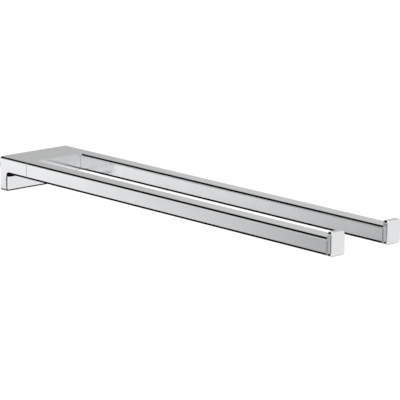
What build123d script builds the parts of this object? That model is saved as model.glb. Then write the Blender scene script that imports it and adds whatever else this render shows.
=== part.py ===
from build123d import *
import os

# Wall-mounted towel rack: two fixed parallel arms on a housing that hides a wall bracket.
# Millimetres, +Z up. The wall is the plane y = 0 and the arms reach out along -Y.
# The origin is the centre of the bracket's back face, midway between the two wall screws.

# Overall sizes
reach = 444.6  # wall to the front of the end stops
rack_width = 79.8  # outer side of one arm to the outer side of the other
plate_height = 31.9  # wall plate, bottom to top
plate_thickness = 10.4  # wall plate, wall to front
bridge_depth = 39.5  # wall to the front of the bridge that carries the arms
edge_radius = 2.4  # long outer edges of the housing, arms and end stops
lower_edge_radius = 1.6  # front and sides of the wall plate, along its bottom

# Arm tubes
arm_width = 15.5
arm_height = 15.6
arm_wall = 1.3
arm_bore_radius = 0.4  # inner corners
root_seam = 0.8  # chamfer on the outer edges at the housing
tip_seam = 0.3  # chamfer on the outer edges at the end stop

# End stops
stop_thickness = 4.9
stop_rise = 4.9  # above the top of the arm
stop_seam = 0.4  # chamfer on the rear edge, where the stop meets the tube
stop_front_radius = 0.8  # round the front face
spigot_length = 16.0
spigot_wall = 2.0
spigot_floor = 2.0  # metal left between the spigot's hollow and the stop
spigot_clearance = 0.05  # on each side, inside the tube
spigot_corner = 1.0
spigot_lead = 0.8  # chamfer on the end that goes in first

# Housing
root_fillet = 2.8  # hollow corner between the wall plate and the bridge
bridge_edge_radius = 0.4  # front edges of the bridge, between the arms
bridge_web = 7.0  # metal that each arm screw pulls on
bridge_front_wall = 4.0  # in front of the lightening core
core_skin = 2.5  # above and below the lightening core
core_corner = 1.5
bearing_land = 10.3  # each end of the recess ceiling, which rests on the bracket
pocket_wall = 4.2  # between the bracket recess and an arm screw's pocket
recess_depth = 7.0
recess_corner = 1.0
tenon_length = 14.0
tenon_clearance = 0.1  # on each side, inside the tube
tenon_corner = 1.0
tenon_lead = 0.6

# Arm screws, lock washers and root plugs
arm_screw_radius = 2.5
arm_screw_length = 40.0
arm_screw_head_radius = 4.25
arm_screw_head_height = 5.0
arm_screw_hex = 4.0  # across flats
arm_screw_hex_depth = 2.5
arm_screw_edge = 0.4
arm_screw_hole_clearance = 0.25
lock_washer_thickness = 1.2
lock_washer_split = 1.0
pocket_clearance = 0.4  # round the lock washer
thread_clearance = 0.05
plug_length = 20.0
plug_gap = 2.0  # between the tenon and the plug, so that the screw pulls the tube tight
plug_corner = 1.0
plug_lead = 0.6

# Wall bracket, its screws and washers
bracket_height = 14.0
bracket_depth = 6.5
bracket_side_gap = 0.3  # to each side of the recess
bracket_top_gap = 0.05  # to the recess ceiling
corner_relief = 0.2  # by which the bracket's corners are rounder than the recess, so that they clear
bracket_lead = 0.8  # chamfer round the front, which the housing slides over
wall_screw_inset = 9.0  # from the bracket's end
wall_screw_radius = 2.25  # over the thread
wall_screw_neck_radius = 2.05
wall_screw_neck_end = 0.25  # the thread starts this far behind the wall plane
wall_screw_length = 45.0
wall_screw_tip_length = 5.0
wall_screw_tip_radius = 0.3
wall_screw_head_radius = 4.0
wall_screw_head_height = 2.6
wall_screw_head_edge = 0.9
wall_screw_cross_span = 4.2
wall_screw_cross_width = 0.9
wall_screw_cross_depth = 1.4
wall_screw_hole_clearance = 0.3
washer_thickness = 0.9
washer_overhang = 0.6  # past the screw head
counterbore_clearance = 0.4  # round the washer
counterbore_depth = 3.7

# Grub screws that clamp the housing to the bracket from below
grub_radius = 2.0
grub_inset = 4.0  # from the bracket's end
grub_sink = 2.9  # the screw sits this far above the housing's underside
grub_tip_gap = 0.05  # to the bracket
grub_hex = 2.0  # across flats
grub_hex_depth = 2.5
grub_edge = 0.4
under_gap = 2.75  # below the bracket, inside the recess

# Places that follow from the sizes
plate_top = plate_height / 2
plate_bottom = -plate_height / 2
arm_bottom = plate_top - arm_height
arm_z = plate_top - arm_height / 2
arm_x = (rack_width - arm_width) / 2
arm_gap = rack_width - 2 * arm_width
arm_length = reach - stop_thickness - bridge_depth
bore_width = arm_width - 2 * arm_wall
bore_height = arm_height - 2 * arm_wall
stop_height = arm_height + stop_rise
arm_screw_hole_radius = arm_screw_radius + arm_screw_hole_clearance
pocket_radius = arm_screw_head_radius + pocket_clearance
pocket_floor = bridge_depth - bridge_web
arm_screw_seat = pocket_floor - lock_washer_thickness
plug_start = bridge_depth + tenon_length + plug_gap
recess_half_width = arm_x - pocket_radius - pocket_wall
recess_top = bracket_height / 2 + bracket_top_gap
recess_bottom = -bracket_height / 2 - under_gap
bracket_half_width = recess_half_width - bracket_side_gap
bracket_corner = recess_corner + corner_relief
wall_screw_x = bracket_half_width - wall_screw_inset
wall_screw_hole_radius = wall_screw_neck_radius + wall_screw_hole_clearance
washer_radius = wall_screw_head_radius + washer_overhang
counterbore_floor = bracket_depth - counterbore_depth
wall_screw_seat = counterbore_floor + washer_thickness
grub_x = bracket_half_width - grub_inset
grub_y = -bracket_depth / 2
grub_tip = -bracket_height / 2 - grub_tip_gap
grub_base = plate_bottom + grub_sink

sides = {"left": -1, "right": 1}
os.makedirs("parts", exist_ok=True)

# Wall housing: an L section with the bridge at its top, hollowed from behind
with BuildPart() as housing:
    with BuildSketch(Plane.YZ) as side_profile:
        with BuildLine():
            Polyline(
                (0, plate_top),
                (-bridge_depth, plate_top),
                (-bridge_depth, arm_bottom),
                (-plate_thickness, arm_bottom),
                (-plate_thickness, plate_bottom),
                (0, plate_bottom),
                close=True,
            )
        make_face()
        inner_corner = side_profile.vertices().sort_by_distance((-plate_thickness, arm_bottom))[0]
        fillet(inner_corner, root_fillet)
    extrude(amount=rack_width / 2, both=True)
    # Round both sides and the plate's front edges, but not where the wall or an arm meets them
    side_edges = housing.faces().filter_by(Axis.X).edges().filter_by(Axis.Z, reverse=True)
    plate_edges = housing.edges().filter_by(Axis.Z).filter_by_position(
        Axis.Y, -plate_thickness, -plate_thickness
    )
    # The two edges along the bottom of the sides are rounded with the plate's lower front edge
    fillet((side_edges + plate_edges).sort_by(Axis.Z)[2:], edge_radius)
    lower_edges = housing.edges().group_by(Axis.Z)[0].sort_by(Axis.Y)[:-1]
    fillet(lower_edges, lower_edge_radius)
    # Round the bridge's two front edges between the arms
    with BuildSketch(Plane.YZ):
        for edge_z, inward in ((plate_top, -1), (arm_bottom, 1)):
            corner = (-bridge_depth, edge_z)
            edge_end = (-bridge_depth + bridge_edge_radius, edge_z)
            front_end = (-bridge_depth, edge_z + inward * bridge_edge_radius)
            with BuildLine():
                Polyline(front_end, corner, edge_end)
                TangentArc(edge_end, front_end, tangent=(-1, 0))
            make_face()
    extrude(amount=arm_gap / 2, both=True, mode=Mode.SUBTRACT)
    # Tenons that carry the arms
    with BuildSketch(Plane.XZ.offset(bridge_depth)):
        with Locations((-arm_x, arm_z), (arm_x, arm_z)):
            RectangleRounded(
                bore_width - 2 * tenon_clearance, bore_height - 2 * tenon_clearance, tenon_corner
            )
    extrude(amount=tenon_length)
    chamfer(housing.faces().sort_by(Axis.Y)[0:2].edges(), tenon_lead)
    # Recess for the bracket
    with BuildSketch(Plane.XZ):
        with Locations((0, (recess_top + recess_bottom) / 2)):
            RectangleRounded(2 * recess_half_width, recess_top - recess_bottom, recess_corner)
    extrude(amount=recess_depth, mode=Mode.SUBTRACT)
    # Lightening core in the bridge
    with BuildSketch(Plane.XZ):
        with Locations((0, arm_z)):
            RectangleRounded(
                2 * (recess_half_width - bearing_land), arm_height - 2 * core_skin, core_corner
            )
    extrude(amount=bridge_depth - bridge_front_wall, mode=Mode.SUBTRACT)
    # Pockets and holes for the arm screws
    with BuildSketch(Plane.XZ):
        with Locations((-arm_x, arm_z), (arm_x, arm_z)):
            Circle(pocket_radius)
    extrude(amount=pocket_floor, mode=Mode.SUBTRACT)
    with BuildSketch(Plane.XZ):
        with Locations((-arm_x, arm_z), (arm_x, arm_z)):
            Circle(arm_screw_hole_radius)
    extrude(amount=bridge_depth + tenon_length, mode=Mode.SUBTRACT)
    # Holes for the grub screws
    with BuildSketch(Plane.XY.offset(plate_bottom)):
        with Locations((-grub_x, grub_y), (grub_x, grub_y)):
            Circle(grub_radius + thread_clearance)
    extrude(amount=recess_bottom - plate_bottom, mode=Mode.SUBTRACT)
housing.part.label = "wall_housing"
export_step(housing.part, "parts/wall_housing.step")

# Arm tubes
for side, sign in sides.items():
    with BuildPart() as arm:
        with BuildSketch(Plane.XZ.offset(bridge_depth)):
            with Locations((sign * arm_x, arm_z)):
                RectangleRounded(arm_width, arm_height, edge_radius)
                RectangleRounded(bore_width, bore_height, arm_bore_radius, mode=Mode.SUBTRACT)
        extrude(amount=arm_length)
        tip_end, root_end = arm.faces().filter_by(Axis.Y).sort_by(Axis.Y)
        chamfer(tip_end.outer_wire().edges(), tip_seam)
        chamfer(root_end.outer_wire().edges(), root_seam)
    arm.part.label = f"{side}_arm"
    export_step(arm.part, f"parts/{side}_arm.step")

# Root plugs: threaded blocks fixed inside the tubes
for side, sign in sides.items():
    with BuildPart() as plug:
        with BuildSketch(Plane.XZ.offset(plug_start)):
            with Locations((sign * arm_x, arm_z)):
                RectangleRounded(bore_width, bore_height, plug_corner)
        extrude(amount=plug_length)
        chamfer(plug.faces().filter_by(Axis.Y).edges(), plug_lead)
        with BuildSketch(Plane.XZ.offset(plug_start)):
            with Locations((sign * arm_x, arm_z)):
                Circle(arm_screw_radius + thread_clearance)
        extrude(amount=plug_length, mode=Mode.SUBTRACT)
    plug.part.label = f"{side}_root_plug"
    export_step(plug.part, f"parts/{side}_root_plug.step")

# Lock washers: split rings, pressed flat under the heads of the arm screws
for side, sign in sides.items():
    with BuildPart() as lock_washer:
        with BuildSketch(Plane.XZ.offset(arm_screw_seat)):
            with Locations((sign * arm_x, arm_z)):
                Circle(arm_screw_head_radius)
                Circle(arm_screw_hole_radius, mode=Mode.SUBTRACT)
            with Locations((sign * arm_x, arm_z + arm_screw_head_radius)):
                Rectangle(lock_washer_split, 2 * arm_screw_head_radius, mode=Mode.SUBTRACT)
        extrude(amount=lock_washer_thickness)
    lock_washer.part.label = f"{side}_lock_washer"
    export_step(lock_washer.part, f"parts/{side}_lock_washer.step")

# Arm screws: socket heads in the housing's pockets, threads in the root plugs
for side, sign in sides.items():
    with BuildPart() as arm_screw:
        with BuildSketch(Plane.XZ.offset(arm_screw_seat - arm_screw_head_height)):
            with Locations((sign * arm_x, arm_z)):
                Circle(arm_screw_head_radius)
        extrude(amount=arm_screw_head_height)
        fillet(arm_screw.edges().sort_by(Axis.Y)[-1], arm_screw_edge)
        with BuildSketch(Plane.XZ.offset(arm_screw_seat)):
            with Locations((sign * arm_x, arm_z)):
                Circle(arm_screw_radius)
        extrude(amount=arm_screw_length)
        chamfer(arm_screw.edges().sort_by(Axis.Y)[0], arm_screw_edge)
        with BuildSketch(Plane.XZ.offset(arm_screw_seat - arm_screw_head_height)):
            with Locations((sign * arm_x, arm_z)):
                RegularPolygon(arm_screw_hex / 2, 6, major_radius=False)
        extrude(amount=arm_screw_hex_depth, mode=Mode.SUBTRACT)
    arm_screw.part.label = f"{side}_arm_screw"
    export_step(arm_screw.part, f"parts/{side}_arm_screw.step")

# End stops: upright plates, flush with the tube below and beside, raised above it, on hollow spigots
for side, sign in sides.items():
    with BuildPart() as stop:
        with BuildSketch(Plane.XZ.offset(reach - stop_thickness)):
            with Locations((sign * arm_x, arm_bottom + stop_height / 2)):
                RectangleRounded(arm_width, stop_height, edge_radius)
        extrude(amount=stop_thickness)
        chamfer(stop.faces().sort_by(Axis.Y)[-1].edges(), stop_seam)
        fillet(stop.faces().sort_by(Axis.Y)[0].edges(), stop_front_radius)
        spigot_width = bore_width - 2 * spigot_clearance
        spigot_height = bore_height - 2 * spigot_clearance
        with BuildSketch(Plane.XZ.offset(reach - stop_thickness)):
            with Locations((sign * arm_x, arm_z)):
                RectangleRounded(spigot_width, spigot_height, spigot_corner)
        extrude(amount=-spigot_length)
        spigot_end = stop.faces().sort_by(Axis.Y)[-1]
        chamfer(spigot_end.edges(), spigot_lead)
        with BuildSketch(Plane.XZ.offset(reach - stop_thickness - spigot_floor)):
            with Locations((sign * arm_x, arm_z)):
                Rectangle(spigot_width - 2 * spigot_wall, spigot_height - 2 * spigot_wall)
        extrude(amount=-spigot_length, mode=Mode.SUBTRACT)
    stop.part.label = f"{side}_end_stop"
    export_step(stop.part, f"parts/{side}_end_stop.step")

# Wall bracket: a block with two counterbored screw holes, which the housing slides over
with BuildPart() as bracket:
    with BuildSketch(Plane.XZ):
        RectangleRounded(2 * bracket_half_width, bracket_height, bracket_corner)
    extrude(amount=bracket_depth)
    front = bracket.faces().sort_by(Axis.Y)[0]
    chamfer(front.edges(), bracket_lead)
    with Locations(Plane.XZ.offset(bracket_depth)):
        with Locations((-wall_screw_x, 0), (wall_screw_x, 0)):
            CounterBoreHole(
                wall_screw_hole_radius, washer_radius + counterbore_clearance, counterbore_depth
            )
bracket.part.label = "wall_bracket"
export_step(bracket.part, "parts/wall_bracket.step")

# Washers under the heads of the wall screws
for side, sign in sides.items():
    with BuildPart() as washer:
        with BuildSketch(Plane.XZ.offset(counterbore_floor)):
            with Locations((sign * wall_screw_x, 0)):
                Circle(washer_radius)
                Circle(wall_screw_hole_radius, mode=Mode.SUBTRACT)
        extrude(amount=washer_thickness)
    washer.part.label = f"{side}_wall_washer"
    export_step(washer.part, f"parts/{side}_wall_washer.step")

# Wall screws: round heads with a cross recess, a plain neck in the bracket and the thread in the wall
for side, sign in sides.items():
    screw_x = sign * wall_screw_x
    head_front = -wall_screw_seat - wall_screw_head_height
    thread_end = wall_screw_length - wall_screw_seat
    with BuildPart() as wall_screw:
        with BuildSketch(Plane.XY) as half_profile:
            with BuildLine():
                Polyline(
                    (screw_x, head_front),
                    (screw_x + wall_screw_head_radius, head_front),
                    (screw_x + wall_screw_head_radius, -wall_screw_seat),
                    (screw_x + wall_screw_neck_radius, -wall_screw_seat),
                    (screw_x + wall_screw_neck_radius, wall_screw_neck_end),
                    (screw_x + wall_screw_radius, wall_screw_neck_end),
                    (screw_x + wall_screw_radius, thread_end - wall_screw_tip_length),
                    (screw_x + wall_screw_tip_radius, thread_end),
                    (screw_x, thread_end),
                    close=True,
                )
            make_face()
            head_corner = (screw_x + wall_screw_head_radius, head_front)
            fillet(half_profile.vertices().sort_by_distance(head_corner)[0], wall_screw_head_edge)
        revolve(axis=Axis((screw_x, 0, 0), (0, 1, 0)))
        with BuildSketch(Plane.XZ.offset(-head_front)):
            with Locations((screw_x, 0)):
                Rectangle(wall_screw_cross_span, wall_screw_cross_width)
                Rectangle(wall_screw_cross_width, wall_screw_cross_span)
        extrude(amount=-wall_screw_cross_depth, mode=Mode.SUBTRACT)
    wall_screw.part.label = f"{side}_wall_screw"
    export_step(wall_screw.part, f"parts/{side}_wall_screw.step")

# Grub screws: they press up on the bracket from the housing's underside
for side, sign in sides.items():
    with BuildPart() as grub:
        with BuildSketch(Plane.XY.offset(grub_base)):
            with Locations((sign * grub_x, grub_y)):
                Circle(grub_radius)
        extrude(amount=grub_tip - grub_base)
        chamfer(grub.faces().filter_by(Axis.Z).edges(), grub_edge)
        with BuildSketch(Plane.XY.offset(grub_base)):
            with Locations((sign * grub_x, grub_y)):
                RegularPolygon(grub_hex / 2, 6, major_radius=False)
        extrude(amount=grub_hex_depth, mode=Mode.SUBTRACT)
    grub.part.label = f"{side}_grub_screw"
    export_step(grub.part, f"parts/{side}_grub_screw.step")
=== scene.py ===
import math

import bmesh
import bpy
from bpy.props import FloatProperty, FloatVectorProperty, PointerProperty
from mathutils import Matrix, Vector


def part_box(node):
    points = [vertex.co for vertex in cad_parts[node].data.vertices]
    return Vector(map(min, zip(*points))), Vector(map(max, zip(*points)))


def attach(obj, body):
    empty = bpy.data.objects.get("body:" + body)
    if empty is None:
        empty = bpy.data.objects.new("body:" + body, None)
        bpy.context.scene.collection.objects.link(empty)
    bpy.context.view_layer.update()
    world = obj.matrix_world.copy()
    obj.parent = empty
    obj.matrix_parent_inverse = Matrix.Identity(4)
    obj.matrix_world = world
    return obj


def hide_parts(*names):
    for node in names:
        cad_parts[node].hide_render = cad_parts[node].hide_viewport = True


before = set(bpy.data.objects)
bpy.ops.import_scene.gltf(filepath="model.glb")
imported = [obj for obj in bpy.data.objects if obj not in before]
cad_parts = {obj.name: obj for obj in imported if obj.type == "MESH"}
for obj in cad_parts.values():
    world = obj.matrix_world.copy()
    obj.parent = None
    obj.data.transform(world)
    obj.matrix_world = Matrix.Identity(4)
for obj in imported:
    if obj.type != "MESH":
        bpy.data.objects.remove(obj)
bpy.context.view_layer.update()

bl_info = {
    "name": "Towel Rack",
    "version": (1, 0, 0),
    "blender": (4, 5, 0),
    "location": "3D View > Sidebar > Towel Rack",
    "description": "Finishes, fasteners and stage for a wall-mounted towel rack with two fixed arms",
    "category": "Object",
}

SIDES = ("left", "right")
MM = 0.001
QUARTER_TURN = math.pi / 2
SHARP_ANGLE = math.radians(32)  # steeper edges of a screw are shaded as sharp
POINT_SHARE = 0.12  # least radius of a pointed thread, as a share of the full one
HEX_RING = 18  # points in a ring round a hexagon, three to a side
NOISE_ROUGHNESS = 0.55
FLOOR_HALF = 12
FAR_CLIP = 100
LAMP_HEIGHT = 3
LAMP_STRENGTH = 1.2
LAMP_ANGLE = math.radians(50)
CARD_HEIGHT = 1.45  # of the level cards, above the floor
BLACK = ((0.0, 0.003), (1.0, 0.003))  # greys of a flag

# Cards and flags that the chrome mirrors: two corners in metres, and greys from one to the other,
# along Y, or upward where both have the same Y. Corners with no height lie level, CARD_HEIGHT above
# the floor. Level ones with a height lie a millimetre or two higher, over the cards below them.
CARDS = {
    "left_upright_card": (
        (-1.6, 0.9, -0.15),
        (-1.6, 2.3, 0.62),
        ((0.0, 0.36), (0.18, 0.48), (0.29, 0.6), (0.39, 0.7), (0.5, 0.79), (0.63, 0.88)),
    ),
    "left_high_flag": ((-8.0, 2.0, 2.8), (-8.0, 14.0, 25.0), BLACK),
    "left_high_card": (
        (-7.95, 2.0, 4.3),
        (-7.95, 8.55, 12.0),
        ((0.0, 0.55), (0.75, 0.5), (1.0, 0.4)),
    ),
    "rear_flag": ((-0.9, 2.3, 1.6), (1.0, 2.3, 5.0), BLACK),
    "rear_left_flag": ((-1.6, 2.3, 1.0), (-0.9, 2.3, 5.0), BLACK),
    "rear_card": ((-1.6, 2.31, 0.0), (1.0, 2.31, 1.6), ((0.0, 0.75), (0.5, 0.6), (1.0, 0.45))),
    "right_high_flag": ((1.0, 0.4, 2.0), (1.0, 2.3, 5.0), BLACK),
    "right_card": (
        (1.0, -1.2, -0.15),
        (1.0, 2.3, 2.0),
        ((0.0, 0.5), (0.35, 0.52), (0.46, 0.6), (0.6, 0.6), (0.67, 0.51), (0.77, 0.49)),
    ),
    "left_front_flag": ((-0.8, -1.25), (-0.61, -0.25), BLACK),
    "left_corner_flag": ((-0.61, -1.25), (-0.25, -0.75), BLACK),
    "left_front_card": ((-0.53, -0.74), (-0.38, -0.42), ((0.0, 0.86), (1.0, 0.92))),
    "left_edge_flag": ((-0.74, 0.0, -0.149), (-0.57, 0.5, -0.149), BLACK),
    "under_flag": ((-0.38, -0.3), (0.1, 0.9), BLACK),
    "front_under_flag": ((0.0, -0.52), (0.22, -0.36), BLACK),
    "middle_under_flag": ((0.1, -0.36), (0.2, 0.6), BLACK),
    "front_middle_card": ((-0.38, -0.52), (0.0, -0.3), ((0.0, 0.7), (1.0, 0.7))),
    "front_card": ((0.3, -2.4), (1.8, -0.46), ((0.75, 0.84), (0.85, 0.84), (1.0, 0.87))),
    "left_outer_card": ((-1.6, -1.25, -0.148), (-0.8, 0.3, -0.148), ((0.0, 0.45), (1.0, 0.75))),
    "right_outer_card": ((0.8, -0.45, -0.148), (1.0, 0.3, -0.148), ((0.0, 0.5), (1.0, 0.75))),
    "left_far_card": ((-3.5, -3.2, -0.6), (-3.5, 0.5, 2.6), ((0.0, 0.6), (1.0, 0.42))),
    "front_far_card": (
        (-3.5, -3.2, -0.6),
        (1.8, -3.2, 2.6),
        ((0.0, 0.35), (0.45, 0.55), (1.0, 0.75)),
    ),
}

# The large level cards on both sides: two corners, the two points between which their greys run aslant,
# and the greys
SIDE_CARDS = {
    "left_card": (
        (-1.6, -0.25),
        (-0.38, 1.6),
        (Vector((-0.48, -0.07, 0)), Vector((-0.212, 0.466, 0))),
        (
            (0.0, 0.003),
            (0.06, 0.45),
            (0.18, 0.54),
            (0.33, 0.665),
            (0.48, 0.78),
            (0.63, 0.86),
            (0.78, 0.905),
            (0.97, 0.965),
        ),
    ),
    "right_low_card": (
        (0.2, -0.36),
        (1.0, 1.6),
        (Vector((0.48, -0.07, 0)), Vector((0.212, 0.466, 0))),
        ((0.0, 0.01), (0.06, 0.3), (0.33, 0.5), (0.63, 0.6), (0.97, 0.66)),
    ),
}


class ChromeSettings(bpy.types.PropertyGroup):
    """Look of the chrome plate on the housing, arms and end stops."""

    tint: FloatVectorProperty(
        name="Tint",
        description="Colour that the plate gives to what it reflects",
        subtype="COLOR",
        size=3,
        min=0,
        max=1,
        default=(0.905, 0.915, 0.93),
    )
    roughness: FloatProperty(
        name="Roughness",
        description="Blur of the reflections on clean plate",
        subtype="FACTOR",
        min=0,
        max=1,
        default=0.11,
    )
    haze: FloatProperty(
        name="Haze",
        description="Extra roughness where the plate was handled",
        subtype="FACTOR",
        min=0,
        max=1,
        default=0.05,
    )
    ripple: FloatProperty(
        name="Ripple",
        description="Depth of the slow waves that polishing leaves",
        unit="LENGTH",
        min=0,
        default=0.00002,
    )


class FastenerSettings(bpy.types.PropertyGroup):
    """Sizes of the screws and colours of the plain metals."""

    wall_pitch: FloatProperty(
        name="Wall Screw Pitch",
        description="Rise of the wall screws' thread in one turn",
        unit="LENGTH",
        default=2.2 * MM,
    )
    arm_pitch: FloatProperty(
        name="Arm Screw Pitch",
        description="Rise of the arm screws' thread in one turn",
        unit="LENGTH",
        default=0.8 * MM,
    )
    grub_pitch: FloatProperty(
        name="Grub Screw Pitch",
        description="Rise of the grub screws' thread in one turn",
        unit="LENGTH",
        default=0.7 * MM,
    )
    zinc: FloatVectorProperty(
        name="Zinc",
        description="Colour of zinc-plated steel",
        subtype="COLOR",
        size=3,
        min=0,
        max=1,
        default=(0.62, 0.64, 0.66),
    )
    stainless: FloatVectorProperty(
        name="Stainless Steel",
        description="Colour of stainless steel",
        subtype="COLOR",
        size=3,
        min=0,
        max=1,
        default=(0.66, 0.645, 0.625),
    )
    brass: FloatVectorProperty(
        name="Brass",
        description="Colour of turned brass",
        subtype="COLOR",
        size=3,
        min=0,
        max=1,
        default=(0.78, 0.6, 0.3),
    )


class StageSettings(bpy.types.PropertyGroup):
    """Camera, floor and studio light."""

    azimuth: FloatProperty(
        name="Azimuth",
        description="Where the camera stands round the rack, from straight in front",
        subtype="ANGLE",
        default=math.radians(-41.01),
    )
    elevation: FloatProperty(
        name="Elevation",
        description="How far the camera looks down",
        subtype="ANGLE",
        default=math.radians(12.245),
    )
    middle_reach: FloatProperty(
        name="Middle Reach",
        description="From the wall to the middle of the rack, round which the camera stands",
        unit="LENGTH",
        default=222.5 * MM,
    )
    distance: FloatProperty(
        name="Distance",
        description="From the camera to the middle of the rack",
        unit="LENGTH",
        default=2.343,
    )
    lens: FloatProperty(
        name="Lens",
        description="Focal length in millimetres on a 36 mm sensor",
        unit="CAMERA",
        default=238.9,
    )
    aim_right: FloatProperty(
        name="Aim Right",
        description="How far the camera aims to the right of the middle of the rack",
        unit="LENGTH",
        default=9.96 * MM,
    )
    aim_down: FloatProperty(
        name="Aim Down",
        description="How far the camera aims below the top of the arms",
        unit="LENGTH",
        default=10.38 * MM,
    )
    floor_drop: FloatProperty(
        name="Floor Drop",
        description="Height of the rack's origin above the floor",
        unit="LENGTH",
        default=1.6,
    )
    floor_colour: FloatVectorProperty(
        name="Floor Colour",
        description="Colour of the pale floor",
        subtype="COLOR",
        size=3,
        min=0,
        max=1,
        default=(0.88, 0.88, 0.88),
    )


class TowelRackSettings(bpy.types.PropertyGroup):
    """Everything that a user may change."""

    chrome: PointerProperty(
        name="Chrome",
        description="Look of the chrome plate",
        type=ChromeSettings,
    )
    fasteners: PointerProperty(
        name="Fasteners",
        description="Sizes of the screws and colours of the plain metals",
        type=FastenerSettings,
    )
    stage: PointerProperty(
        name="Stage",
        description="Camera, floor and studio light",
        type=StageSettings,
    )


class Shade:
    """A shader socket on which Python arithmetic adds Math nodes."""

    def __init__(self, tree, socket=None):
        self.tree = tree
        self.socket = socket

    def node(self, kind, settings=None, sockets=None, output=0):
        """Adds a node, sets its settings, then its sockets, and returns one of its outputs.

        The setting "stops" gives a colour ramp its stops.
        """
        node = self.tree.nodes.new(kind)
        for name, value in (settings or {}).items():
            if name == "stops":
                set_stops(node.color_ramp, value)
            else:
                setattr(node, name, value)
        for name, value in (sockets or {}).items():
            if isinstance(value, Shade):
                self.tree.links.new(value.socket, node.inputs[name])
            else:
                node.inputs[name].default_value = value
        return Shade(self.tree, node.outputs[output] if node.outputs else None)

    def math(self, operation, first, second):
        """Adds a Math node on two sockets or numbers."""
        return self.node("ShaderNodeMath", {"operation": operation}, {0: first, 1: second})

    def __add__(self, other):
        return self.math("ADD", self, other)

    def __radd__(self, other):
        return self.math("ADD", other, self)

    def __sub__(self, other):
        return self.math("SUBTRACT", self, other)

    def __rsub__(self, other):
        return self.math("SUBTRACT", other, self)

    def __mul__(self, other):
        return self.math("MULTIPLY", self, other)

    def __rmul__(self, other):
        return self.math("MULTIPLY", other, self)


def set_stops(ramp, stops):
    """Gives a colour ramp its stops, each a position and a grey level."""
    while len(ramp.elements) < len(stops):
        ramp.elements.new(1.0)
    for element, (position, grey) in zip(ramp.elements, stops):
        element.position = position
        element.color = (grey, grey, grey, 1)


def new_shader(name):
    """A material with an empty node tree, as a Shade to build on."""
    material = bpy.data.materials.new(name)
    material.use_nodes = True
    material.node_tree.nodes.clear()
    return material, Shade(material.node_tree)


def opaque(colour):
    """A colour with full alpha."""
    return (*colour, 1.0)


def shaded(colour, shares):
    """A colour with each channel brought down to a share of itself."""
    return [channel * share for channel, share in zip(colour, shares)]


def add_surface(shade, sockets):
    """Adds the surface shader with its sockets, and the output that shows it."""
    surface = shade.node("ShaderNodeBsdfPrincipled", {}, sockets)
    shade.node("ShaderNodeOutputMaterial", {}, {"Surface": surface})


def noise(shade, coordinates, scale, detail=2.0, stretch=(1, 1, 1)):
    """Grey noise, about 0.5 on average, with scale in features per metre."""
    placed = shade.node("ShaderNodeMapping", {}, {"Vector": coordinates, "Scale": stretch})
    sockets = {"Vector": placed, "Scale": scale, "Detail": detail, "Roughness": NOISE_ROUGHNESS}
    return shade.node("ShaderNodeTexNoise", {}, sockets)


def blend(shade, factor, first, second):
    """A colour between two colours, through the colour sockets of a Mix node."""
    first_colour, second_colour, mixed_colour = 6, 7, 2
    sockets = {"Factor": factor, first_colour: opaque(first), second_colour: opaque(second)}
    return shade.node("ShaderNodeMix", {"data_type": "RGBA"}, sockets, output=mixed_colour)


def chrome_plate(chrome):
    """Bright chrome: near-mirror, with faint handling haze, polishing lines and slow waves."""
    cloud_scale, wave_scale = 45.0, 14.0
    along_arms = (2600, 60, 2600)
    handled = shaded(chrome.tint, (0.97, 0.97, 0.97))
    bump_strength = 0.4
    material, shade = new_shader("chrome_plate")
    place = shade.node("ShaderNodeTexCoord", output="Object")
    cloud = noise(shade, place, cloud_scale, detail=3.0)
    lines = noise(shade, place, scale=1.0, stretch=along_arms)
    waves = noise(shade, place, wave_scale, detail=1.0)
    bump = {"Strength": bump_strength, "Distance": chrome.ripple, "Height": waves}
    sockets = {
        "Base Color": blend(shade, cloud, chrome.tint, handled),
        "Metallic": 1.0,
        "Roughness": chrome.roughness + chrome.haze * cloud * lines,
        "Normal": shade.node("ShaderNodeBump", {}, bump),
    }
    add_surface(shade, sockets)
    return material


def plain_metal(name, colour, stain, roughness, grain, stretch):
    """A satin metal: two close colours in clouds, and a fine grain in roughness and height."""
    cloud_scale = 160.0
    least_roughness = roughness - 0.12
    grain_roughness, cloud_roughness = 0.16, 0.12
    bump_strength, bump_depth = 0.25, 0.05 * MM
    material, shade = new_shader(name)
    place = shade.node("ShaderNodeTexCoord", output="Object")
    cloud = noise(shade, place, cloud_scale, detail=4.0)
    lines = noise(shade, place, grain, stretch=stretch)
    bump = {"Strength": bump_strength, "Distance": bump_depth, "Height": lines}
    sockets = {
        "Base Color": blend(shade, cloud, colour, stain),
        "Metallic": 1.0,
        "Roughness": least_roughness + grain_roughness * lines + cloud_roughness * cloud,
        "Normal": shade.node("ShaderNodeBump", {}, bump),
    }
    add_surface(shade, sockets)
    return material


def zinc_plate(fasteners):
    """Zinc plate, passivated to a faint blue-grey with warmer patches."""
    stain = shaded(fasteners.zinc, (0.86, 0.84, 0.78))
    grain = {"grain": 900.0, "stretch": (1, 1, 1)}
    return plain_metal("zinc_plated_steel", fasteners.zinc, stain, roughness=0.36, **grain)


def stainless_steel(fasteners):
    """Cold-formed stainless steel with drawn lines along the screws."""
    stain = shaded(fasteners.stainless, (0.88, 0.88, 0.88))
    grain = {"grain": 1.0, "stretch": (2400, 300, 2400)}
    return plain_metal("stainless_steel", fasteners.stainless, stain, roughness=0.3, **grain)


def turned_brass(fasteners):
    """Sawn and turned brass, a little dull."""
    stain = shaded(fasteners.brass, (0.82, 0.74, 0.62))
    grain = {"grain": 1.0, "stretch": (300, 2600, 300)}
    return plain_metal("raw_brass", fasteners.brass, stain, roughness=0.38, **grain)


def give_finish(nodes, material):
    """Puts a material on CAD nodes that are shown as they are."""
    for name in nodes:
        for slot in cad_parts[name].material_slots:
            slot.material = material


def pair(name):
    """The names of a left and a right piece."""
    return [f"{side}_{name}" for side in SIDES]


def circle(radius, height, angles):
    """A round ring at a height."""
    return [Vector((radius * math.cos(a), radius * math.sin(a), height)) for a in angles]


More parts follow.
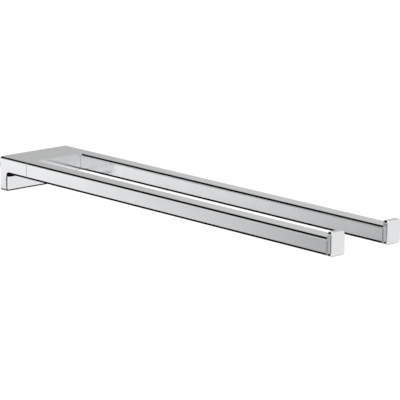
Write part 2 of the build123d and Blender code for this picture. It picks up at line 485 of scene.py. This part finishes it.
def even_angles(count):
    """Angles that share a full turn."""
    return [2 * math.pi * i / count for i in range(count)]


def rounded_rim(head, edge, angles, steps):
    """Rings that round a screw head's outer edge, from its face to its side."""
    rings = []
    for step in range(1, steps + 1):
        turn = QUARTER_TURN * step / steps
        radius = head - edge + edge * math.sin(turn)
        rings.append(circle(radius, edge - edge * math.cos(turn), angles))
    return rings


def hexagon(half_flats, height, angles):
    """A ring on a hexagon, for angles that include its corners."""
    sector = math.pi / 3
    ring = []
    for a in angles:
        off_flat = (a % sector) - sector / 2
        reach = half_flats / math.cos(off_flat)
        ring.append(Vector((reach * math.cos(a), reach * math.sin(a), height)))
    return ring


def cross_angles(half_span, half_width):
    """Angles for a ring that holds every corner of a cross, four quarters of six."""
    arm = math.atan2(half_width, half_span)
    middle = (arm + math.pi / 4) / 2
    quarter = [0, arm, middle, math.pi / 4, QUARTER_TURN - middle, QUARTER_TURN - arm]
    return [a + k * QUARTER_TURN for k in range(4) for a in quarter]


def cross(half_span, half_width, height, angles):
    """A ring on the outline of a cross."""
    ring = []
    for a in angles:
        along = max(abs(math.cos(a)), abs(math.sin(a)))
        across = min(abs(math.cos(a)), abs(math.sin(a)))
        reach = half_span / along
        if across * reach > half_width:
            reach = half_width / across
        ring.append(Vector((reach * math.cos(a), reach * math.sin(a), height)))
    return ring


def thread(core, crest, pitch, start, end, count, sharpness, taper=0.0):
    """Rings of a right-hand thread from start to end, as many in a pitch as points in a ring.

    The thread fades in and out over one pitch, and tapers to a point over a given length at its end.
    """
    rings = []
    steps = round((end - start) / pitch * count)
    for j in range(steps + 1):
        height = start + (end - start) * j / steps
        fade = min(1, (height - start) / pitch, (end - height) / pitch)
        narrow = min(1, (end - height) / taper) if taper else 1
        narrow = max(narrow, POINT_SHARE)
        ring = []
        for i in range(count):
            phase = (j - i) / count % 1
            wave = max(0, 1 - sharpness * abs(2 * phase - 1))
            radius = narrow * (core + (crest - core) * wave * max(fade, 0))
            a = 2 * math.pi * i / count
            ring.append(Vector((radius * math.cos(a), radius * math.sin(a), height)))
        rings.append(ring)
    return rings


def screw_object(name, rings, place, material):
    """A closed mesh skinned over rings, cut along the thread's own slope, in its place."""
    mesh = bmesh.new()
    rows = [[mesh.verts.new(place @ point) for point in ring] for ring in rings]
    count = len(rows[0])
    for low, high in zip(rows, rows[1:]):
        for i in range(count):
            k = (i + 1) % count
            mesh.faces.new((low[i], low[k], high[k]))
            mesh.faces.new((low[i], high[k], high[i]))
    mesh.faces.new(list(reversed(rows[0])))
    mesh.faces.new(rows[-1])
    bmesh.ops.recalc_face_normals(mesh, faces=mesh.faces)
    data = bpy.data.meshes.new(name)
    mesh.to_mesh(data)
    mesh.free()
    data.shade_smooth()
    data.set_sharp_from_angle(angle=SHARP_ANGLE)
    data.materials.append(material)
    piece = bpy.data.objects.new(name, data)
    bpy.context.scene.collection.objects.link(piece)
    return piece


def node_middle(name):
    """The middle of a CAD node's box."""
    low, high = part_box(name)
    return (low + high) / 2


def ride_and_replace(piece, body, node):
    """Lets a piece move with a body, in place of a CAD node."""
    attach(piece, body)
    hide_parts(node)


class TOWELRACK_OT_chrome_pieces(bpy.types.Operator):
    """Plate the housing, the arms and the end stops with chrome"""

    bl_idname = "towel_rack.chrome_pieces"
    bl_label = "Chrome Pieces"

    def execute(self, context):
        chrome = context.scene.towel_rack.chrome
        give_finish(["wall_housing"] + pair("arm") + pair("end_stop"), chrome_plate(chrome))
        return {"FINISHED"}


class TOWELRACK_OT_plain_pieces(bpy.types.Operator):
    """Finish the bracket, the washers and the root plugs"""

    bl_idname = "towel_rack.plain_pieces"
    bl_label = "Plain Metal Pieces"

    def execute(self, context):
        fasteners = context.scene.towel_rack.fasteners
        give_finish(["wall_bracket"] + pair("lock_washer"), zinc_plate(fasteners))
        give_finish(pair("wall_washer"), stainless_steel(fasteners))
        give_finish(pair("root_plug"), turned_brass(fasteners))
        return {"FINISHED"}


class TOWELRACK_OT_wall_screws(bpy.types.Operator):
    """Make the two wall screws, with a cross recess, a plain neck and a coarse pointed thread"""

    bl_idname = "towel_rack.wall_screws"
    bl_label = "Wall Screws"

    def execute(self, context):
        fasteners = context.scene.towel_rack.fasteners
        steel = stainless_steel(fasteners)
        for side in SIDES:
            node = f"{side}_wall_screw"
            low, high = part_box(node)
            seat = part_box(f"{side}_wall_washer")[0].y - low.y
            length = high.y - low.y
            head = (high.x - low.x) / 2
            rings = self.rings(head, seat, length, fasteners.wall_pitch)
            middle = node_middle(node)
            front = Vector((middle.x, low.y, middle.z))
            place = Matrix.Translation(front) @ Matrix.Rotation(-QUARTER_TURN, 4, "X")
            piece = screw_object(f"{node}_threaded", rings, place, steel)
            ride_and_replace(piece, "wall_fixing", node)
        return {"FINISHED"}

    def rings(self, head, seat, length, pitch):
        """Rings from the floor of the cross recess, over the head and the neck, to the point."""
        span, width, depth = 2.1 * MM, 0.45 * MM, 1.4 * MM
        floor_span, floor_width = 0.45 * span, 0.6 * width
        edge = 0.9 * MM
        neck, neck_end = 2.05 * MM, seat + 6.0 * MM
        core, crest, sharpness = 1.5 * MM, 2.25 * MM, 2.2
        start = neck_end + 0.3 * MM
        point = 5 * MM
        angles = cross_angles(span, width)
        rings = [
            cross(floor_span, floor_width, depth, angles),
            cross(span, width, 0, angles),
            circle(head - edge, 0, angles),
        ]
        rings += rounded_rim(head, edge, angles, steps=6)
        even = even_angles(len(angles))
        rings += [circle(head, seat, even), circle(neck, seat, even), circle(neck, neck_end, even)]
        rings += thread(core, crest, pitch, start, length, len(even), sharpness, taper=point)
        return rings


class TOWELRACK_OT_arm_screws(bpy.types.Operator):
    """Make the two socket screws that pull the arms against the housing"""

    bl_idname = "towel_rack.arm_screws"
    bl_label = "Arm Screws"

    def execute(self, context):
        fasteners = context.scene.towel_rack.fasteners
        zinc = zinc_plate(fasteners)
        for side in SIDES:
            node = f"{side}_arm_screw"
            low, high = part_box(node)
            seat = high.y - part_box(f"{side}_lock_washer")[1].y
            length = high.y - low.y
            head = (high.x - low.x) / 2
            rings = self.rings(head, seat, length, fasteners.arm_pitch)
            middle = node_middle(node)
            back = Vector((middle.x, high.y, middle.z))
            place = Matrix.Translation(back) @ Matrix.Rotation(QUARTER_TURN, 4, "X")
            piece = screw_object(f"{node}_threaded", rings, place, zinc)
            ride_and_replace(piece, "rack", node)
        return {"FINISHED"}

    def rings(self, head, seat, length, pitch):
        """Rings from the floor of the socket, over the head and the shank, to the end of the thread."""
        flats, depth = 2.0 * MM, 2.5 * MM
        drill_point, drill_depth = 0.25 * flats, depth + 0.6 * MM
        mouth, mouth_depth = 1.2 * flats, 0.15 * MM
        edge = 0.4 * MM
        shank, core, sharpness = 2.5 * MM, 2.05 * MM, 1.1
        shank_end = length - 22 * MM
        start = shank_end + 0.3 * MM
        angles = even_angles(HEX_RING)
        rings = [
            circle(drill_point, drill_depth, angles),
            hexagon(flats, depth, angles),
            hexagon(flats, mouth_depth, angles),
            circle(mouth, 0, angles),
            circle(head - edge, 0, angles),
        ]
        rings += rounded_rim(head, edge, angles, steps=4)
        rings += [
            circle(head, seat, angles),
            circle(shank, seat, angles),
            circle(shank, shank_end, angles),
        ]
        rings += thread(core, shank, pitch, start, length, len(angles), sharpness)
        return rings


class TOWELRACK_OT_grub_screws(bpy.types.Operator):
    """Make the two grub screws that clamp the housing from below"""

    bl_idname = "towel_rack.grub_screws"
    bl_label = "Grub Screws"

    def execute(self, context):
        fasteners = context.scene.towel_rack.fasteners
        steel = stainless_steel(fasteners)
        for side in SIDES:
            node = f"{side}_grub_screw"
            low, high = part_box(node)
            rings = self.rings((high.x - low.x) / 2, high.z - low.z, fasteners.grub_pitch)
            middle = node_middle(node)
            place = Matrix.Translation(Vector((middle.x, middle.y, low.z)))
            piece = screw_object(f"{node}_threaded", rings, place, steel)
            ride_and_replace(piece, f"{side}_grub", node)
        return {"FINISHED"}

    def rings(self, crest, length, pitch):
        """Rings from the floor of the socket, over the thread, to the hollow of the cup point."""
        flats, depth = 1.0 * MM, 2.5 * MM
        drill_point, drill_depth = 0.3 * flats, depth + 0.3 * MM
        mouth, mouth_depth = 1.2 * flats, 0.1 * MM
        core, sharpness = crest - 0.42 * MM, 1.1
        face = core - 0.1 * MM
        start, end = 0.15 * MM, length - 0.2 * MM
        cup_outer, cup_inner = core - 0.25 * MM, core - 0.5 * MM
        cup_floor, cup_depth = 0.2 * MM, 0.6 * MM
        angles = even_angles(HEX_RING)
        rings = [
            circle(drill_point, drill_depth, angles),
            hexagon(flats, depth, angles),
            hexagon(flats, mouth_depth, angles),
            circle(mouth, 0, angles),
            circle(face, 0, angles),
        ]
        rings += thread(core, crest, pitch, start, end, len(angles), sharpness)
        rings += [
            circle(cup_outer, length, angles),
            circle(cup_inner, length, angles),
            circle(cup_floor, length - cup_depth, angles),
        ]
        return rings


class TOWELRACK_OT_stage(bpy.types.Operator):
    """Set up the floor, the studio light and the camera"""

    bl_idname = "towel_rack.stage"
    bl_label = "Stage"

    def execute(self, context):
        stage = context.scene.towel_rack.stage
        context.scene.view_settings.view_transform = "Standard"
        white_world(context.scene)
        self.floor(stage)
        self.cards(stage)
        self.lamp()
        self.camera(context.scene, stage)
        return {"FINISHED"}

    def floor(self, stage):
        """A wide pale floor below the rack."""
        corner = (FLOOR_HALF, FLOOR_HALF)
        floor = sheet("floor", (-FLOOR_HALF, -FLOOR_HALF), corner, -stage.floor_drop)
        floor.data.materials.append(pale_floor(stage.floor_colour))

    def cards(self, stage):
        """Grey and black sheets round the rack, which only its reflections see."""
        level = CARD_HEIGHT - stage.floor_drop
        for name, (low, high, greys) in CARDS.items():
            axis = 2 if low[1] == high[1] else 1
            run = [Vector((0, 0, 0)), Vector((0, 0, 0))]
            run[0][axis] = low[axis]
            run[1][axis] = high[axis]
            self.add_card(name, low, high, level, run, greys)
        for name, (low, high, run, greys) in SIDE_CARDS.items():
            self.add_card(name, low, high, level, run, greys)

    def add_card(self, name, low, high, level, run, greys):
        """One sheet that neither the camera nor the floor sees."""
        card = sheet(name, low, high, level)
        card.data.materials.append(card_tone(name, run, greys))
        card.visible_camera = False
        card.visible_diffuse = False
        card.visible_shadow = False
        card.visible_transmission = False

    def lamp(self):
        """A broad soft light from above."""
        data = bpy.data.lights.new("soft_lamp", "SUN")
        data.energy = LAMP_STRENGTH
        data.angle = LAMP_ANGLE
        lamp = bpy.data.objects.new("soft_lamp", data)
        lamp.location.z = LAMP_HEIGHT
        bpy.context.scene.collection.objects.link(lamp)

    def camera(self, scene, stage):
        """The camera, fitted to the photographed rack."""
        back = Vector(
            (
                math.sin(stage.azimuth) * math.cos(stage.elevation),
                -math.cos(stage.azimuth) * math.cos(stage.elevation),
                math.sin(stage.elevation),
            )
        )
        right = (-back).cross(Vector((0, 0, 1))).normalized()
        up = right.cross(-back)
        middle = Vector((0, -stage.middle_reach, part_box("left_arm")[1].z))
        data = bpy.data.cameras.new("camera")
        data.lens = stage.lens
        data.clip_end = FAR_CLIP
        camera = bpy.data.objects.new("camera", data)
        camera.location = middle + back * stage.distance
        aim = middle + right * stage.aim_right - up * stage.aim_down
        camera.rotation_euler = (aim - camera.location).to_track_quat("-Z", "Y").to_euler()
        scene.collection.objects.link(camera)
        scene.camera = camera


def sheet(name, low, high, level):
    """A flat stage sheet between two corners, upright where they share X or Y, and level elsewhere.

    Corners with no height are put at the given level.
    """
    if len(low) == 2:
        low = (*low, level)
        high = (*high, level)
    if low[0] == high[0]:
        second = (low[0], high[1], low[2])
        fourth = (low[0], low[1], high[2])
    elif low[1] == high[1]:
        second = (high[0], low[1], low[2])
        fourth = (low[0], low[1], high[2])
    else:
        second = (high[0], low[1], low[2])
        fourth = (low[0], high[1], high[2])
    data = bpy.data.meshes.new(name)
    data.from_pydata([low, second, high, fourth], [], [(0, 1, 2, 3)])
    piece = bpy.data.objects.new(name, data)
    bpy.context.scene.collection.objects.link(piece)
    return piece


def seen_rays(shade):
    """1 where the camera, a reflection or a view through glass looks, and 0 for other light."""
    camera = shade.node("ShaderNodeLightPath", output="Is Camera Ray")
    mirror = shade.node("ShaderNodeLightPath", output="Is Glossy Ray")
    through = shade.node("ShaderNodeLightPath", output="Is Transmission Ray")
    return camera + mirror + through


def white_world(scene):
    """White where it is seen or reflected, and a softer fill where it lights the floor."""
    fill, white = 0.6, 1.0
    scene.world = bpy.data.worlds.new("studio")
    scene.world.use_nodes = True
    scene.world.node_tree.nodes.clear()
    shade = Shade(scene.world.node_tree)
    strength = fill + (white - fill) * seen_rays(shade)
    sockets = {"Color": opaque((1, 1, 1)), "Strength": strength}
    background = shade.node("ShaderNodeBackground", {}, sockets)
    shade.node("ShaderNodeOutputWorld", {}, {"Surface": background})


def pale_floor(colour):
    """A matt pale floor, lifted to white where the camera or a reflection sees it unshaded."""
    cloud_scale = 3.0
    lift = 0.16
    cloudy = shaded(colour, (0.985, 0.985, 0.985))
    material, shade = new_shader("pale_floor")
    place = shade.node("ShaderNodeTexCoord", output="Object")
    cloud = noise(shade, place, cloud_scale, detail=3.0)
    sockets = {
        "Base Color": blend(shade, cloud, colour, cloudy),
        "Roughness": 0.9,
        "Emission Color": lift * seen_rays(shade),
        "Emission Strength": 1.0,
    }
    add_surface(shade, sockets)
    return material


def card_tone(name, run, greys):
    """A card that glows, with its greys placed along a run from one point to another."""
    material, shade = new_shader(name)
    first, last = run
    slope = (last - first) / (last - first).length_squared
    place = shade.node("ShaderNodeNewGeometry", output="Position")
    dot = {"operation": "DOT_PRODUCT"}
    along = shade.node("ShaderNodeVectorMath", dot, {0: place, 1: slope}, output="Value")
    share = along - first.dot(slope)
    tone = shade.node("ShaderNodeValToRGB", {"stops": greys}, {"Fac": share})
    glow = shade.node("ShaderNodeEmission", {}, {"Color": tone, "Strength": 1.0})
    shade.node("ShaderNodeOutputMaterial", {}, {"Surface": glow})
    return material


class TOWELRACK_PT_panel(bpy.types.Panel):
    """Lists the rack's pieces and settings"""

    bl_idname = "TOWELRACK_PT_panel"
    bl_label = "Towel Rack"
    bl_space_type = "VIEW_3D"
    bl_region_type = "UI"
    bl_category = "Towel Rack"

    def draw(self, context):
        settings = context.scene.towel_rack
        for group in (settings.chrome, settings.fasteners, settings.stage):
            box = self.layout.box()
            for name in group.__annotations__:
                box.prop(group, name)
        for operator in OPERATORS:
            self.layout.operator(operator.bl_idname)


OPERATORS = (
    TOWELRACK_OT_chrome_pieces,
    TOWELRACK_OT_plain_pieces,
    TOWELRACK_OT_wall_screws,
    TOWELRACK_OT_arm_screws,
    TOWELRACK_OT_grub_screws,
    TOWELRACK_OT_stage,
)
CLASSES = (
    ChromeSettings,
    FastenerSettings,
    StageSettings,
    TowelRackSettings,
    *OPERATORS,
    TOWELRACK_PT_panel,
)


def register():
    """Adds the settings, the operators and the panel to Blender."""
    for cls in CLASSES:
        bpy.utils.register_class(cls)
    bpy.types.Scene.towel_rack = PointerProperty(
        name="Towel Rack",
        description="Settings of the towel rack",
        type=TowelRackSettings,
    )


def unregister():
    """Takes away what register added."""
    del bpy.types.Scene.towel_rack
    for cls in reversed(CLASSES):
        bpy.utils.unregister_class(cls)


def main():
    register()
    bpy.ops.towel_rack.chrome_pieces()
    bpy.ops.towel_rack.plain_pieces()
    bpy.ops.towel_rack.wall_screws()
    bpy.ops.towel_rack.arm_screws()
    bpy.ops.towel_rack.grub_screws()
    bpy.ops.towel_rack.stage()


if __name__ == "__main__":
    main()
